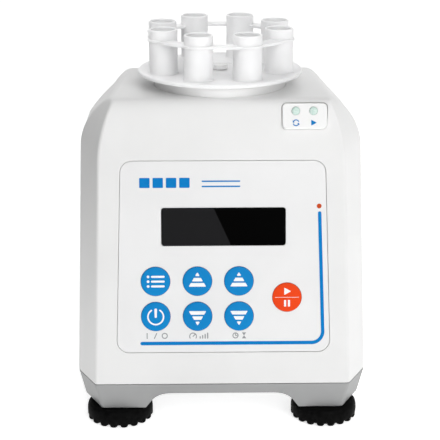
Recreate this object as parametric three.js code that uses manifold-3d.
// Vortex mixer with an eight-place tube rack: a moulded housing on a four-legged base, a crank drive that
// carries the rack round a small orbit without turning it, and a keypad panel with seven keys.
// Millimetres, +Z up. The origin is on the bench under the middle of the footprint, and -Y is the front.
import * as THREE from "three";
import { mergeVertices } from "three/addons/utils/BufferGeometryUtils.js";
import Module from "manifold-3d";

const wasm = await Module();
wasm.setup();

// ---------------------------------------------------------------- driving dimensions

const DEG = Math.PI / 180;
const GAP = 0.3; // between neighbouring pieces
const CUT = 5; // how far a cutter runs past the face that it cuts

// Housing
const SEAM_Z = 26.1; // where the upper housing meets the base
const TOP_Z = 181.5;
const HALF_WIDTH = 82.5; // at the seam
const FRONT_HALF_WIDTH = 71.5; // of the front face between its corner facets, at the seam
const FRONT_Y = -72.5;
const BACK_Y = 72.5;
const WALL = 3.2;
const FRONT_LEAN = 13 * DEG;
const BACK_LEAN = 2.5 * DEG;
const SIDE_LEAN = 1.18 * DEG;
const EDGE_LEAN = 1.3 * DEG;
const FACET_DEPTH = 21.4; // of the corner facets, front to back

// Base and feet
const LEG_Z = 9.8;
const BASE_TAPER = 3.2; // inwards from the seam to the underside of the legs
const BASE_WALL = 2.4;
const FRONT_ARCH_HALF = 43.5; // of the arches at the front and back
const SIDE_ARCH_HALF = 36;
const FLOOR_LOW_Z = 19.8;
const FLOOR_HIGH_Z = 22.3;
const FOOT_X = 58.7;
const FOOT_Y = 56.5;
const FOOT_R = 18.9;
const FOOT_TEETH = 18;
const SCREW_R = 1.5;
const BOSS_R = 5; // the housing's screw bosses, over the feet
const BOSS_TOP_Z = 48;
const RIB_T = 2.4; // from each boss to the side wall

// Crank drive
const ORBIT_R = 2; // eccentricity: half of the 4 mm orbit
const MOTOR_Y = 5.5;
const HEAD_Y = MOTOR_Y + ORBIT_R;
const BALLAST_TOP_Z = 27.6;
const BRACKET_Z = 115.4;
const BRACKET_T = 3;
const GUIDE_Z = 148;
const GUIDE_X = 30;
const BEARING_LOW_Z = 158.3;
const BEARING_HIGH_Z = 165;
const BEARING_R = 11;
const CARRIER_TOP_Z = 187.4;
const COLLAR_R = 38.2;
const COLLAR_BORE_R = 29.6; // the head's neck is 26, and orbits 2 inside it
const COLLAR_LOW_Z = 177;
const COLLAR_TOP_Z = 186.9;

// Tube rack
const RACK_LOW_Z = 187.8;
const RACK_TOP_Z = 190;
const RACK_R = 47.5;
const SLEEVES = 8;
const PITCH_R = 35.6;
const SLEEVE_R = 8.15;
const BORE_R = 6.7; // takes a 13 mm tube
const SLEEVE_TOP_Z = 215.4;
const WEB_LOW_Z = 208.4;
const WEB_T = 1.6;
const WEB_IN_R = 33;
const WEB_OUT_R = 41.8;
const RACK_TURN = 2 * DEG;

// Keypad panel, in its own frame: x across, y up the sloping face from the panel's lower edge, z outwards
const PANEL_X = 0.7;
const PANEL_Z = 43.8;
const PANEL_H = 107.2;
const PANEL_HALF_LOW = 59.8;
const PANEL_HALF_TOP = 56.8;
const PANEL_CORNER_R = 6;
const POCKET_DEPTH = 2.1;
const WINDOW = { x: 0.2, y: 70.6, w: 69, h: 20.9 };
const SCREEN = { w: 64, h: 17 }; // the opening in the housing behind the window
const KEY_R = 8.15;
const KEYS = [
  { name: "key_mode", x: -37.9, y: 40.2, colour: "blue" },
  { name: "key_power", x: -37.9, y: 20.4, colour: "blue" },
  { name: "key_speed_up", x: -14.5, y: 40.2, colour: "blue" },
  { name: "key_speed_down", x: -14.5, y: 20.4, colour: "blue" },
  { name: "key_time_up", x: 8.7, y: 40.2, colour: "blue" },
  { name: "key_time_down", x: 8.7, y: 20.4, colour: "blue" },
  { name: "key_start_stop", x: 35.6, y: 30.9, colour: "orange" },
];

// Indicator plate, on the curve above the panel
const INDICATOR = { x: 46, y: -38.5, z: 172.1, tilt: 24 * DEG, w: 24.7, h: 14.2 };
const LED_R = 2.3;
const LED_X = 4.9;
const LED_Y = 2.8;

// Power inlet and cooling slots, on the back
const INLET = { x: 40, z: 60, face: 72.4, w: 31, h: 48 };
const FLANGE_EDGE = 2; // the inlet's flange stands out this far round its body
const VENTS = { count: 6, left: -62, right: -24, low: 48, pitch: 6, h: 2.2 };

// ---------------------------------------------------------------- materials

const paint = (color, roughness, metalness = 0) =>
  new THREE.MeshStandardMaterial({ color, roughness, metalness });
const MATERIALS = {
  white: paint(0xf1f1f0, 0.38),
  grey: paint(0xa3a4a4, 0.45),
  black: paint(0x101011, 0.7),
  frosted: paint(0xf4f5f5, 0.3),
  overlay: paint(0xefefef, 0.45),
  blue: paint(0x0a86dc, 0.4),
  orange: paint(0xf4470a, 0.4),
  window: paint(0x060607, 0.08),
  led: paint(0xd5e8df, 0.2),
  board: paint(0x1c5a36, 0.5),
  steel: paint(0xb9bcc0, 0.35, 1),
  zinc: paint(0x8d9094, 0.45, 1),
  copper: paint(0xb87333, 0.4, 1),
  darkPlastic: paint(0x1b1b1d, 0.5),
};

// ---------------------------------------------------------------- solids and meshes

function solidOf(geometry, matrix) {
  const bare = geometry.clone();
  bare.deleteAttribute("normal");
  bare.deleteAttribute("uv");
  if (matrix) bare.applyMatrix4(matrix);
  const merged = mergeVertices(bare, 1e-4);
  return new wasm.Manifold(
    new wasm.Mesh({
      numProp: 3,
      vertProperties: merged.attributes.position.array,
      triVerts: new Uint32Array(merged.index.array),
    }),
  );
}

function geometryOf(solid) {
  const mesh = solid.getMesh();
  const geometry = new THREE.BufferGeometry();
  geometry.setAttribute("position", new THREE.BufferAttribute(mesh.vertProperties, 3));
  geometry.setIndex(new THREE.BufferAttribute(mesh.triVerts, 1));
  geometry.computeVertexNormals();
  return geometry;
}

const shift = (x, y, z) => new THREE.Matrix4().makeTranslation(x, y, z);
const joined = (solids) => solids.reduce((whole, next) => whole.add(next));
const cut = (solid, cutters) => cutters.reduce((rest, next) => rest.subtract(next), solid);

// A box from one corner to the other.
function box(low, high, matrix) {
  const size = low.map((value, i) => high[i] - value);
  const middle = low.map((value, i) => (value + high[i]) / 2);
  const geometry = new THREE.BoxGeometry(...size).translate(...middle);
  return solidOf(geometry, matrix);
}

// An upright cylinder from low to high, centred on x, y.
function rod(radius, low, high, x = 0, y = 0, sides = 24, matrix = undefined) {
  const geometry = new THREE.CylinderGeometry(radius, radius, high - low, sides)
    .rotateX(Math.PI / 2)
    .translate(x, y, (low + high) / 2);
  return solidOf(geometry, matrix);
}

// A solid of revolution about Z from [radius, z] pairs, listed so that the outside runs upwards.
function turned(profile, sides, x = 0, y = 0) {
  const closed = profile[0][0] === 0 ? profile : [...profile, profile[0]];
  const points = closed.map(([r, z]) => new THREE.Vector2(r, z));
  const geometry = new THREE.LatheGeometry(points, sides).rotateX(Math.PI / 2).translate(x, y, 0);
  return solidOf(geometry);
}

// A flat shape in XY, extruded from low to high.
function slab(shape, low, high, matrix) {
  const geometry = new THREE.ExtrudeGeometry(shape, {
    depth: high - low,
    bevelEnabled: false,
    curveSegments: 5,
  }).translate(0, 0, low);
  return solidOf(geometry, matrix);
}

// A four-sided shape that is level top and bottom and symmetric about x, with rounded corners.
function roundedShape(halfLow, halfTop, low, top, radius, x = 0) {
  const corners = [
    [x - halfLow, low],
    [x + halfLow, low],
    [x + halfTop, top],
    [x - halfTop, top],
  ].map(([px, py]) => new THREE.Vector2(px, py));
  const shape = new THREE.Shape();
  corners.forEach((corner, i) => {
    const before = corners[(i + 3) % 4].clone().sub(corner).setLength(radius).add(corner);
    const after = corners[(i + 1) % 4].clone().sub(corner).setLength(radius).add(corner);
    if (i === 0) shape.moveTo(before.x, before.y);
    else shape.lineTo(before.x, before.y);
    shape.quadraticCurveTo(corner.x, corner.y, after.x, after.y);
  });
  shape.closePath();
  return shape;
}

const roundedRectangle = (w, h, radius, x = 0, y = 0) =>
  roundedShape(w / 2, w / 2, y - h / 2, y + h / 2, radius, x);

// A ring sector about the origin.
function sectorShape(inner, outer, from, to) {
  const shape = new THREE.Shape();
  shape.absarc(0, 0, outer, from, to, false);
  shape.absarc(0, 0, inner, to, from, true);
  shape.closePath();
  return shape;
}

const root = new THREE.Group();

function place(name, geometry, material, parent = root) {
  const mesh = new THREE.Mesh(geometry, MATERIALS[material]);
  mesh.name = name;
  parent.add(mesh);
  return mesh;
}

const placeSolid = (name, solid, material, parent) =>
  place(name, geometryOf(solid), material, parent);

// A group whose z axis points out of a face that leans back by lean. facing is -1 for the front and +1 for
// the back.
function faceGroup(x, y, z, lean, facing) {
  const group = new THREE.Group();
  const up = new THREE.Vector3(0, -facing * Math.sin(lean), Math.cos(lean));
  const out = new THREE.Vector3(0, facing * Math.cos(lean), Math.sin(lean));
  const across = new THREE.Vector3().crossVectors(up, out);
  group.quaternion.setFromRotationMatrix(new THREE.Matrix4().makeBasis(across, up, out));
  group.position.set(x, y, z);
  group.updateMatrixWorld(true);
  root.add(group);
  return group;
}

// ---------------------------------------------------------------- the housing's shape

const onLine = (start, lean, z) => start - (z - SEAM_Z) * Math.tan(lean);

// The curves that carry each face over onto the top, as the control points [distance, z] of a cubic.
const FRONT_CURVE = [[-40.9, 163], [-38.2, 174.5], [-38, TOP_Z], [-31.5, TOP_Z]];
const BACK_CURVE = [[66.5, 163], [66.1, 173], [61, TOP_Z], [45, TOP_Z]];
const SIDE_CURVE = [[79.9, 153], [79.2, 164], [70.5, 176.5], [61.5, TOP_Z]];
const EDGE_CURVE = [[68.7, 150], [68.2, 159], [65.5, 170], [60, TOP_Z]];
const SHOULDER_LEVELS = [150, 154, 158, 162, 166.5, 170.5, 174, 177, 179.3, 180.8, TOP_Z];

// Above TAPER_LOW_Z the sides begin to close in on each other towards the back.
const TAPER_LOW_Z = 155;
const TAPER_HIGH_Z = 172;
const FULL_TAPER = 0.075;
const STEPS = { end: 5, facet: 2, side: 5 };

function onCurve(points, z) {
  const at = (axis, t) => {
    const [a, b, c, d] = points.map((p) => p[axis]);
    const s = 1 - t;
    return s * s * s * a + 3 * s * s * t * b + 3 * s * t * t * c + t * t * t * d;
  };
  let low = 0;
  let high = 1;
  for (let i = 0; i < 40; i++) {
    const t = (low + high) / 2;
    if (at(1, t) < z) low = t;
    else high = t;
  }
  return at(0, (low + high) / 2);
}

const frontLineY = (z) => -onLine(-FRONT_Y, FRONT_LEAN, z);
const backLineY = (z) => onLine(BACK_Y, BACK_LEAN, z);
const sideLineX = (z) => onLine(HALF_WIDTH, SIDE_LEAN, z);
const edgeLineX = (z) => onLine(FRONT_HALF_WIDTH, EDGE_LEAN, z);
const faceOf = (line, curve) => (z) => (z <= curve[0][1] ? line(z) : onCurve(curve, z));
const frontFaceY = faceOf(frontLineY, FRONT_CURVE);
const backFaceY = faceOf(backLineY, BACK_CURVE);
const sideFaceX = faceOf(sideLineX, SIDE_CURVE);
const facetEdgeX = faceOf(edgeLineX, EDGE_CURVE);

function sideTaper(z) {
  const share = (z - TAPER_LOW_Z) / (TAPER_HIGH_Z - TAPER_LOW_Z);
  return FULL_TAPER * Math.min(1, Math.max(0, share));
}

// The depth of a corner facet, front to back. It keeps the facet's direction, so it shrinks with its width.
function facetDepth(z) {
  return (FACET_DEPTH * (sideFaceX(z) - facetEdgeX(z))) / (sideLineX(z) - edgeLineX(z));
}

// Points from one corner of a plan up to, but not including, the next.
const alongEdge = ([ax, ay], [bx, by], steps) =>
  Array.from({ length: steps }, (_, k) => {
    const t = k / steps;
    return [ax + (bx - ax) * t, ay + (by - ay) * t];
  });

// The plan of the housing at height z, anticlockwise from the left end of the front face.
function housingPlan(z, inset = 0) {
  const front = frontFaceY(z) + inset;
  const back = backFaceY(z) - inset;
  const narrowing = sideTaper(z) * (back - front);
  const side = sideFaceX(z) - inset;
  const edge = facetEdgeX(z) - inset;
  const right = [
    [edge, front],
    [side, front + facetDepth(z)],
    [side - narrowing, back - facetDepth(z)],
    [edge - narrowing, back],
  ];
  const left = right.map(([x, y]) => [-x, y]).reverse();
  const corners = [...right, ...left];
  const steps = [STEPS.facet, STEPS.side, STEPS.facet, STEPS.end];
  return corners.flatMap((corner, i) => alongEdge(corner, corners[(i + 1) % 8], steps[i % 4]));
}

// A closed skin over plans of equal length, each at its own height, with flat ends.
function loft(plans, heights) {
  const count = plans[0].length;
  const vertices = plans.flatMap((plan, k) => plan.flatMap(([x, y]) => [x, y, heights[k]]));
  const triangles = [];
  for (let k = 0; k + 1 < plans.length; k++) {
    for (let i = 0; i < count; i++) {
      const a = k * count + i;
      const b = k * count + ((i + 1) % count);
      triangles.push(a, b, b + count, a, b + count, a + count);
    }
  }
  const cap = (plan, first, upwards) => {
    const flat = plan.map(([x, y]) => new THREE.Vector2(x, y));
    THREE.ShapeUtils.triangulateShape(flat, []).forEach(([a, b, c]) =>
      triangles.push(...(upwards ? [a, b, c] : [a, c, b]).map((i) => first + i)),
    );
  };
  cap(plans[0], 0, false);
  cap(plans[plans.length - 1], (plans.length - 1) * count, true);
  return new wasm.Manifold(
    new wasm.Mesh({
      numProp: 3,
      vertProperties: new Float32Array(vertices),
      triVerts: new Uint32Array(triangles),
    }),
  );
}

// ---------------------------------------------------------------- frames of the faces

const panel = faceGroup(PANEL_X, frontLineY(PANEL_Z), PANEL_Z, FRONT_LEAN, -1);
const indicator = faceGroup(INDICATOR.x, INDICATOR.y, INDICATOR.z, INDICATOR.tilt, -1);
const inlet = faceGroup(INLET.x, INLET.face, INLET.z, 0, 1);
const footPlaces = [
  ["front_left", -FOOT_X, -FOOT_Y],
  ["front_right", FOOT_X, -FOOT_Y],
  ["rear_left", -FOOT_X, FOOT_Y],
  ["rear_right", FOOT_X, FOOT_Y],
];

const panelShape = (grow) =>
  roundedShape(PANEL_HALF_LOW + grow, PANEL_HALF_TOP + grow, -grow, PANEL_H + grow, PANEL_CORNER_R);
const windowShape = (grow) =>
  roundedRectangle(WINDOW.w + 2 * grow, WINDOW.h + 2 * grow, 1, WINDOW.x, WINDOW.y);

// ---------------------------------------------------------------- housing pieces

function upperHousing() {
  const outer = loft(
    [SEAM_Z, ...SHOULDER_LEVELS].map((z) => housingPlan(z)),
    [SEAM_Z, ...SHOULDER_LEVELS],
  );
  const innerLevels = [SEAM_Z - WALL - CUT, ...SHOULDER_LEVELS.map((z) => z - WALL)];
  const inner = loft(
    innerLevels.map((z) => housingPlan(z + WALL, WALL)),
    innerLevels,
  );
  const bosses = footPlaces.map(([, x, y]) => rod(BOSS_R, FLOOR_HIGH_Z + GAP, BOSS_TOP_Z, x, y));
  const ribs = footPlaces.map(([, x, y]) => {
    const wallX = Math.sign(x) * HALF_WIDTH;
    const low = [Math.min(x, wallX), y - RIB_T / 2, SEAM_Z + 3];
    const high = [Math.max(x, wallX), y + RIB_T / 2, BOSS_TOP_Z - 1];
    return box(low, high);
  });
  const pilots = footPlaces.map(([, x, y]) => rod(SCREW_R + GAP, 0, BOSS_TOP_Z - CUT, x, y, 12));
  const collarHole = rod(COLLAR_R + GAP, TOP_Z - 14, TOP_Z + CUT, 0, MOTOR_Y, 48);
  const panelPocket = slab(panelShape(GAP), -POCKET_DEPTH, CUT, panel.matrixWorld);
  const screenHole = slab(
    roundedRectangle(SCREEN.w, SCREEN.h, 1, WINDOW.x, WINDOW.y),
    -WALL - CUT,
    CUT,
    panel.matrixWorld,
  );
  const indicatorPocket = slab(
    roundedRectangle(INDICATOR.w + 2 * GAP, INDICATOR.h + 2 * GAP, 2.6),
    -1.3,
    CUT,
    indicator.matrixWorld,
  );
  const ledHoles = [-LED_X, LED_X].map((x) =>
    rod(LED_R + GAP, -2 * CUT, CUT, x, LED_Y, 16, indicator.matrixWorld),
  );
  const inletPocket = box(
    [-INLET.w / 2 - GAP, -INLET.h / 2 - GAP, -2],
    [INLET.w / 2 + GAP, INLET.h / 2 + GAP, CUT],
    inlet.matrixWorld,
  );
  const inletHole = box(
    [FLANGE_EDGE - INLET.w / 2 - GAP, FLANGE_EDGE - INLET.h / 2 - GAP, -3 * CUT],
    [INLET.w / 2 - FLANGE_EDGE + GAP, INLET.h / 2 - FLANGE_EDGE + GAP, CUT],
    inlet.matrixWorld,
  );
  const vents = Array.from({ length: VENTS.count }, (_, i) => {
    const low = VENTS.low + VENTS.pitch * i;
    return box([VENTS.left, BACK_Y - 12, low], [VENTS.right, BACK_Y + CUT, low + VENTS.h]);
  });
  return cut(joined([outer.subtract(inner), joined(ribs).intersect(outer), ...bosses]), [
    ...pilots,
    collarHole,
    panelPocket,
    screenHole,
    indicatorPocket,
    ...ledHoles,
    inletPocket,
    inletHole,
    ...vents,
  ]);
}

// The plan of the base at height z: the housing's plan at the seam, drawn in towards the legs.
function basePlan(z) {
  const share = (SEAM_Z - z) / (SEAM_Z - LEG_Z);
  return housingPlan(SEAM_Z, BASE_TAPER * share);
}

// An arch between two legs, whose flanks lean in and then curve over to the flat of the base's floor.
function archShape(half) {
  const knee = { x: half - 2.8, z: LEG_Z + 4.2 };
  const bend = half - 6.5;
  const flat = half - 15;
  const shape = new THREE.Shape();
  shape.moveTo(-half, -CUT);
  shape.lineTo(-half, LEG_Z);
  shape.lineTo(-knee.x, knee.z);
  shape.quadraticCurveTo(-bend, FLOOR_LOW_Z, -flat, FLOOR_LOW_Z);
  shape.lineTo(flat, FLOOR_LOW_Z);
  shape.quadraticCurveTo(bend, FLOOR_LOW_Z, knee.x, knee.z);
  shape.lineTo(half, LEG_Z);
  shape.lineTo(half, -CUT);
  shape.closePath();
  return shape;
}

function baseHousing() {
  const levels = [LEG_Z, SEAM_Z - GAP];
  const outer = loft(levels.map(basePlan), levels);
  const alongY = new THREE.Matrix4().makeRotationX(Math.PI / 2);
  const alongX = new THREE.Matrix4().makeRotationZ(Math.PI / 2).multiply(alongY);
  const pocketLevels = [FLOOR_HIGH_Z, SEAM_Z + CUT];
  const pocket = loft(
    pocketLevels.map(() => housingPlan(SEAM_Z, BASE_TAPER + BASE_WALL)),
    pocketLevels,
  );
  const holes = footPlaces.map(([, x, y]) => rod(SCREW_R + GAP, 0, SEAM_Z, x, y, 12));
  return cut(outer, [
    slab(archShape(FRONT_ARCH_HALF), -2 * BACK_Y, 2 * BACK_Y, alongY),
    slab(archShape(SIDE_ARCH_HALF), -2 * HALF_WIDTH, 2 * HALF_WIDTH, alongX),
    pocket,
    ...holes,
  ]);
}

function collarRing() {
  const profile = [
    [COLLAR_BORE_R, COLLAR_LOW_Z],
    [COLLAR_R, COLLAR_LOW_Z],
    [COLLAR_R, COLLAR_TOP_Z - 1.2],
    [COLLAR_R - 1.2, COLLAR_TOP_Z],
    [COLLAR_BORE_R, COLLAR_TOP_Z],
  ];
  return turned(profile, 40, 0, MOTOR_Y);
}

// A rubber foot with a toothed rim, and the screw that holds it and the base to the housing.
function foot() {
  const rimIn = FOOT_R - 3.7;
  const profile = [
    [SCREW_R + GAP, 3.2],
    [6, 3.2],
    [6, 1.8],
    [FOOT_R, 1.8],
    [FOOT_R - 1.3, LEG_Z - 1.3],
    [FOOT_R - 2.4, LEG_Z - GAP],
    [SCREW_R + GAP, LEG_Z - GAP],
  ];
  const pitch = (2 * Math.PI) / FOOT_TEETH;
  const rim = Array.from({ length: FOOT_TEETH }, (_, i) =>
    [[rimIn - 0.5, -0.25], [FOOT_R - 0.2, -0.2], [FOOT_R - 0.2, 0.2], [rimIn - 0.5, 0.25]].map(
      ([r, turn]) => new THREE.Vector2(r, 0).rotateAround(new THREE.Vector2(), (i + turn) * pitch),
    ),
  ).flat();
  const hollow = rod(6 + GAP, -CUT, 3.2, 0, 0, 20);
  const teeth = slab(new THREE.Shape(rim), 0, 2).subtract(hollow);
  return turned(profile, 24).add(teeth);
}

function footScrew() {
  const slot = box([-CUT, -0.5, 0], [CUT, 0.5, 1.4]);
  return rod(4, 0.6, 2.9, 0, 0, 18)
    .add(rod(SCREW_R, 2, SEAM_Z + 13, 0, 0, 12))
    .subtract(slot);
}

placeSolid("upper_housing", upperHousing(), "white");
placeSolid("base_housing", baseHousing(), "grey");
placeSolid("collar_ring", collarRing(), "white");
const footGeometry = geometryOf(foot());
const footScrewGeometry = geometryOf(footScrew());
for (const [corner, x, y] of footPlaces) {
  place(`foot_${corner}`, footGeometry, "black").position.set(x, y, 0);
  place(`foot_screw_${corner}`, footScrewGeometry, "steel").position.set(x, y, 0);
}

function ballastPlate() {
  const plate = slab(roundedRectangle(112, 128, 4), FLOOR_HIGH_Z + GAP, BALLAST_TOP_Z);
  return cut(
    plate,
    footPlaces.map(([, x, y]) => rod(6.5, 0, SEAM_Z + CUT, x, y)),
  );
}

placeSolid("ballast_plate", ballastPlate(), "zinc");

// ---------------------------------------------------------------- keypad panel and display

function keypadOverlay() {
  const holes = KEYS.map(({ x, y }) => rod(KEY_R + GAP, -CUT, CUT, x, y, 24));
  return cut(slab(panelShape(0), -0.6, 0.2), [slab(windowShape(GAP), -CUT, CUT), ...holes]);
}

function keypadCircuit() {
  const domes = KEYS.map(({ x, y }) => rod(4, -1.5, -1, x, y, 8));
  const sheet = slab(panelShape(-0.8), -1.8, -1.3).subtract(slab(windowShape(GAP), -CUT, CUT));
  return joined([sheet, ...domes]);
}

function keyCap() {
  const profile = [
    [0, -0.5],
    [KEY_R, -0.5],
    [KEY_R - 0.4, 0.5],
    [0, 0.5],
  ];
  return turned(profile, 24);
}

placeSolid("keypad_overlay", keypadOverlay(), "overlay", panel);
placeSolid("keypad_circuit", keypadCircuit(), "darkPlastic", panel);
const keyGeometry = geometryOf(keyCap());
for (const { name, x, y, colour } of KEYS) {
  place(name, keyGeometry, colour, panel).position.set(x, y, 0);
}

placeSolid("display_window", slab(windowShape(0), -1.8, 0.1), "window", panel);

// A character display: its metal bezel in front of its own small board.
function displayModule() {
  const { x, y } = WINDOW;
  const bezel = box([x - 35.6, y - 12.1, -11.4], [x + 35.6, y + 12.1, -4.4]);
  const board = box([x - 40, y - 18, -12.8], [x + 40, y + 18, -11.2]);
  return bezel.add(board);
}

// A circuit board with its parts, each given by two opposite corners.
function controlBoard() {
  const board = box([-55, 4, -17], [55, 100, -15.4]);
  const buzzer = box([-40, 12, -15.6], [-22, 24, -12]);
  const processor = box([-8, 20, -15.6], [6, 34, -13.6]);
  const keypadPlug = box([20, 10, -15.6], [46, 18, -8]);
  const supplyPlug = box([-50, 88, -24], [-34, 96, -16.8]);
  return joined([board, buzzer, processor, keypadPlug, supplyPlug]);
}

placeSolid("display_module", displayModule(), "steel", panel);
placeSolid("control_board", controlBoard(), "board", panel);

function indicatorPlate() {
  const plate = slab(roundedRectangle(INDICATOR.w, INDICATOR.h, 2.4), -1, 1.5);
  return cut(
    plate,
    [-LED_X, LED_X].map((x) => rod(LED_R + GAP, -CUT, CUT, x, LED_Y, 20)),
  );
}

placeSolid("indicator_plate", indicatorPlate(), "overlay", indicator);
const ledProfile = [[0, -4.5], [LED_R, -4.5], [LED_R, 1.5], [LED_R - 0.7, 1.9], [0, 2]];
const ledGeometry = geometryOf(turned(ledProfile, 16));
place("led_auto", ledGeometry, "led", indicator).position.set(-LED_X, LED_Y, 0);
place("led_run", ledGeometry, "led", indicator).position.set(LED_X, LED_Y, 0);

// ---------------------------------------------------------------- power

const SOCKET = { y: -9, w: 24.4, h: 16.4, depth: 17 };
const DRAWER = { y: 14.5, w: 24, h: 9, depth: 19 };

function powerInlet() {
  const { w, h } = INLET;
  const flange = slab(roundedRectangle(w, h, 2), -1.7, 0);
  const body = box(
    [FLANGE_EDGE - w / 2, FLANGE_EDGE - h / 2, -22],
    [w / 2 - FLANGE_EDGE, h / 2 - FLANGE_EDGE, -1.5],
  );
  const socket = slab(roundedRectangle(SOCKET.w, SOCKET.h, 3, 0, SOCKET.y), -SOCKET.depth, CUT);
  const drawerFace = box(
    [-DRAWER.w / 2 - GAP, DRAWER.y - DRAWER.h / 2 - GAP, -1.8],
    [DRAWER.w / 2 + GAP, DRAWER.y + DRAWER.h / 2 + GAP, CUT],
  );
  const drawerSlot = box(
    [-DRAWER.w / 2 + 2 - GAP, DRAWER.y - 3 - GAP, -DRAWER.depth - GAP],
    [DRAWER.w / 2 - 2 + GAP, DRAWER.y + 3 + GAP, 0],
  );
  const pin = (x, y) => box([x - 1, y - 2, -SOCKET.depth - 1], [x + 1, y + 2, -4.5]);
  const pins = [pin(-7, SOCKET.y + 1), pin(7, SOCKET.y + 1), pin(0, SOCKET.y + 5)];
  return joined([cut(flange.add(body), [socket, drawerFace, drawerSlot]), ...pins]);
}

function fuseDrawer() {
  const face = box(
    [-DRAWER.w / 2, DRAWER.y - DRAWER.h / 2, -1.5],
    [DRAWER.w / 2, DRAWER.y + DRAWER.h / 2, -0.1],
  );
  const tray = box(
    [-DRAWER.w / 2 + 2, DRAWER.y - 3, -DRAWER.depth],
    [DRAWER.w / 2 - 2, DRAWER.y + 3, -1.3],
  );
  const notch = box([-4, DRAWER.y + 2.5, -0.9], [4, DRAWER.y + CUT, 1]);
  return face.add(tray).subtract(notch);
}

placeSolid("power_inlet", powerInlet(), "darkPlastic", inlet);
placeSolid("fuse_drawer", fuseDrawer(), "darkPlastic", inlet);

function powerSupply() {
  const board = box([-70, -34, 34], [-68.4, 40, 92]);
  const transformer = box([-68.6, -12, 46], [-48, 16, 76]);
  const capacitor = box([-68.6, 22, 50], [-56, 34, 72]);
  const terminals = box([-68.6, -30, 40], [-60, -18, 50]);
  return joined([board, transformer, capacitor, terminals]);
}

placeSolid("power_supply", powerSupply(), "board");

// ---------------------------------------------------------------- motor and its frame

const ISOLATOR_X = 48;
const ISOLATOR_DY = 14;
const BRACKET_FOOT_Z = 34;
const BRACKET_HALF = 42; // across, to the outside of its legs
const BRACKET_FOOT_X = 54; // across, to the ends of its feet
const BRACKET_DY = 22;

// A folded plate: a deck that carries the motor, two legs, and two feet turned outwards.
function motorBracket() {
  const fold = (xa, xb, low, high) => {
    const front = [Math.min(xa, xb), MOTOR_Y - BRACKET_DY, low];
    const back = [Math.max(xa, xb), MOTOR_Y + BRACKET_DY, high];
    return box(front, back);
  };
  const inside = BRACKET_HALF - BRACKET_T;
  const deck = fold(-BRACKET_HALF, BRACKET_HALF, BRACKET_Z, BRACKET_Z + BRACKET_T);
  const sides = [-1, 1].flatMap((side) => [
    fold(side * inside, side * BRACKET_HALF, BRACKET_FOOT_Z, BRACKET_Z + 1),
    fold(side * inside, side * BRACKET_FOOT_X, BRACKET_FOOT_Z, BRACKET_FOOT_Z + BRACKET_T),
  ]);
  return joined([deck, ...sides]).subtract(rod(8, BRACKET_Z - 1, BRACKET_Z + CUT, 0, MOTOR_Y));
}

placeSolid("motor_bracket", motorBracket(), "steel");
const isolatorProfile = [
  [0, BALLAST_TOP_Z + GAP],
  [6, BALLAST_TOP_Z + GAP],
  [5, (BALLAST_TOP_Z + BRACKET_FOOT_Z) / 2],
  [6, BRACKET_FOOT_Z - GAP],
  [0, BRACKET_FOOT_Z - GAP],
];
const isolatorGeometry = geometryOf(turned(isolatorProfile, 16));
for (const [corner, x, y] of footPlaces) {
  const isolator = place(`isolator_${corner}`, isolatorGeometry, "black");
  isolator.position.set(Math.sign(x) * ISOLATOR_X, MOTOR_Y + Math.sign(y) * ISOLATOR_DY, 0);
}

const MOTOR_LOW_Z = 55;
const MOTOR_TOP_Z = BRACKET_Z - GAP;

function motorStator() {
  const profile = [
    [4, MOTOR_TOP_Z],
    [4, MOTOR_TOP_Z - 3],
    [21, MOTOR_TOP_Z - 3],
    [21, MOTOR_LOW_Z + 3],
    [4, MOTOR_LOW_Z + 3],
    [4, MOTOR_LOW_Z],
    [24, MOTOR_LOW_Z],
    [24, MOTOR_TOP_Z],
  ];
  return turned(profile, 24, 0, MOTOR_Y);
}

const SHAFT_R = 3;
const HUB_LOW_Z = 122;
const HUB_TOP_Z = 146;
const HUB_R = 12;
const CRANK_PIN_R = 4;

placeSolid("motor_stator", motorStator(), "zinc");
placeSolid(
  "motor_rotor",
  rod(20.2, MOTOR_LOW_Z + 6, MOTOR_TOP_Z - 6, 0, MOTOR_Y, 24).subtract(
    rod(SHAFT_R + GAP, 0, TOP_Z, 0, MOTOR_Y, 20),
  ),
  "copper",
);
placeSolid("motor_shaft", rod(SHAFT_R, MOTOR_LOW_Z + 1, HUB_LOW_Z + 11, 0, MOTOR_Y, 20), "steel");
placeSolid(
  "eccentric_hub",
  cut(rod(HUB_R, HUB_LOW_Z, HUB_TOP_Z, 0, MOTOR_Y, 32), [
    rod(SHAFT_R + GAP, HUB_LOW_Z - 1, HUB_LOW_Z + 12, 0, MOTOR_Y, 20),
    rod(CRANK_PIN_R + GAP, HUB_LOW_Z + 14, HUB_TOP_Z + 1, 0, HEAD_Y, 20),
  ]),
  "steel",
);
placeSolid(
  "crank_pin",
  rod(CRANK_PIN_R, HUB_LOW_Z + 14 + GAP, BEARING_HIGH_Z + 0.8, 0, HEAD_Y, 20),
  "steel",
);
placeSolid(
  "counterweight",
  slab(
    sectorShape(HUB_R + GAP, 22, 195 * DEG, 345 * DEG),
    HUB_LOW_Z + 2,
    HUB_LOW_Z + 12,
    shift(0, MOTOR_Y, 0),
  ),
  "zinc",
);

// The anti-rotation plate: each guide pin rolls round a hole that is one orbit wider than the pin.
const GUIDE_PIN_R = 3;

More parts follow.
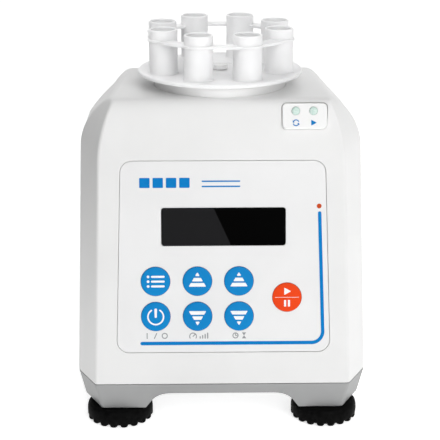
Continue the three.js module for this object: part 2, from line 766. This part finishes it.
function guidePlate() {
  const plate = box([-40, MOTOR_Y - 24, GUIDE_Z], [40, MOTOR_Y + 24, GUIDE_Z + 3]);
  const posts = footPlaces.map(([, x, y]) => {
    const postY = MOTOR_Y + 19 * Math.sign(y);
    return rod(3.5, BRACKET_Z + BRACKET_T + GAP, GUIDE_Z + 1, 36 * Math.sign(x), postY, 10);
  });
  const holes = [-1, 1].map((side) =>
    rod(GUIDE_PIN_R + ORBIT_R + GAP, GUIDE_Z - 1, GUIDE_Z + CUT, side * GUIDE_X, MOTOR_Y, 24),
  );
  return cut(joined([plate, ...posts]), [
    rod(17, GUIDE_Z - 1, GUIDE_Z + CUT, 0, MOTOR_Y, 24),
    ...holes,
  ]);
}

placeSolid("guide_plate", guidePlate(), "steel");

// ---------------------------------------------------------------- bearing and head

const bearingRing = (inner, outer) =>
  turned(
    [
      [inner, BEARING_LOW_Z],
      [outer, BEARING_LOW_Z],
      [outer, BEARING_HIGH_Z],
      [inner, BEARING_HIGH_Z],
    ],
    20,
    0,
    HEAD_Y,
  );

function bearingBalls() {
  const middle = (BEARING_LOW_Z + BEARING_HIGH_Z) / 2;
  const ballPath = 7.85;
  const balls = Array.from({ length: 7 }, (_, i) => {
    const angle = (i / 7) * 2 * Math.PI;
    return solidOf(
      new THREE.SphereGeometry(1.5, 6, 5).translate(
        ballPath * Math.cos(angle),
        HEAD_Y + ballPath * Math.sin(angle),
        middle,
      ),
    );
  });
  const cage = turned(
    [
      [ballPath - 0.5, middle - 0.5],
      [ballPath + 0.5, middle - 0.5],
      [ballPath + 0.5, middle + 0.5],
      [ballPath - 0.5, middle + 0.5],
    ],
    14,
    0,
    HEAD_Y,
  );
  return joined([cage, ...balls]);
}

placeSolid("bearing_inner_race", bearingRing(CRANK_PIN_R + GAP, 6.1), "steel");
placeSolid("bearing_balls", bearingBalls(), "steel");
placeSolid("bearing_outer_race", bearingRing(9.7, BEARING_R), "steel");

const FLANGE_LOW_Z = 161;
const FLANGE_TOP_Z = 165;
const FLANGE_R = 36;
const NECK_R = 26;
const CUP_R = 16; // the part that holds the bearing

function headCarrier() {
  const profile = [
    [0, BEARING_HIGH_Z + 1.4],
    [9, BEARING_HIGH_Z + 1.4],
    [9, BEARING_HIGH_Z + GAP],
    [BEARING_R + GAP, BEARING_HIGH_Z + GAP],
    [BEARING_R + GAP, BEARING_LOW_Z - GAP],
    [CUP_R, BEARING_LOW_Z - GAP],
    [CUP_R, FLANGE_LOW_Z],
    [FLANGE_R, FLANGE_LOW_Z],
    [FLANGE_R, FLANGE_TOP_Z],
    [NECK_R, FLANGE_TOP_Z + 2],
    [NECK_R, CARRIER_TOP_Z],
    [0, CARRIER_TOP_Z],
  ];
  const pinSockets = [-1, 1].map((side) =>
    rod(GUIDE_PIN_R + GAP, FLANGE_LOW_Z - 1, FLANGE_TOP_Z - 1, side * GUIDE_X, HEAD_Y, 16),
  );
  const screwSocket = rod(2.3, CARRIER_TOP_Z - 16, CARRIER_TOP_Z + 1, 0, HEAD_Y, 16);
  return cut(turned(profile, 28, 0, HEAD_Y), [...pinSockets, screwSocket]);
}

placeSolid("head_carrier", headCarrier(), "darkPlastic");
["left", "right"].forEach((side, i) =>
  placeSolid(
    `guide_pin_${side}`,
    rod(GUIDE_PIN_R, GUIDE_Z - 4, FLANGE_TOP_Z - 1 - GAP, (2 * i - 1) * GUIDE_X, HEAD_Y, 16),
    "steel",
  ),
);

// ---------------------------------------------------------------- tube rack

const rack = new THREE.Group();
rack.position.set(0, HEAD_Y, 0);
rack.rotation.z = RACK_TURN;
root.add(rack);

function rackDisc() {
  const profile = [
    [2.4, RACK_LOW_Z],
    [RACK_R, RACK_LOW_Z],
    [RACK_R, RACK_TOP_Z],
    [16, RACK_TOP_Z],
    [15.4, RACK_TOP_Z - 0.8],
    [2.4, RACK_TOP_Z - 0.8],
  ];
  return turned(profile, 48);
}

// A sleeve with its share of the web that ties the sleeves together, lying on the +X side of the rack.
function tubeSleeve() {
  const webHalf = Math.PI / SLEEVES - GAP / 2 / WEB_OUT_R;
  const web = slab(
    sectorShape(WEB_IN_R, WEB_OUT_R, -webHalf, webHalf),
    WEB_LOW_Z,
    WEB_LOW_Z + WEB_T,
  );
  const profile = [
    [0, RACK_TOP_Z + GAP],
    [SLEEVE_R, RACK_TOP_Z + GAP],
    [SLEEVE_R, SLEEVE_TOP_Z],
    [0, SLEEVE_TOP_Z],
  ];
  return turned(profile, 24, PITCH_R, 0)
    .add(web)
    .subtract(rod(BORE_R, 0, SLEEVE_TOP_Z + CUT, PITCH_R, 0, 24));
}

placeSolid("rack_disc", rackDisc(), "frosted", rack);
const sleeveGeometry = geometryOf(tubeSleeve());
for (let i = 0; i < SLEEVES; i++) {
  const sleeve = place(`tube_sleeve_${i + 1}`, sleeveGeometry, "frosted", rack);
  sleeve.rotation.z = ((i + 0.5) / SLEEVES) * 2 * Math.PI;
}

function rackScrew() {
  const headLow = RACK_TOP_Z - 0.8 + GAP;
  const slot = box([-CUT, -0.6, headLow + 1.6], [CUT, 0.6, headLow + CUT]);
  return rod(4.5, headLow, headLow + 2.8, 0, 0, 24)
    .add(rod(2, CARRIER_TOP_Z - 14, headLow + 1, 0, 0, 12))
    .subtract(slot);
}

placeSolid("rack_screw", rackScrew(), "white", rack);

export default root;
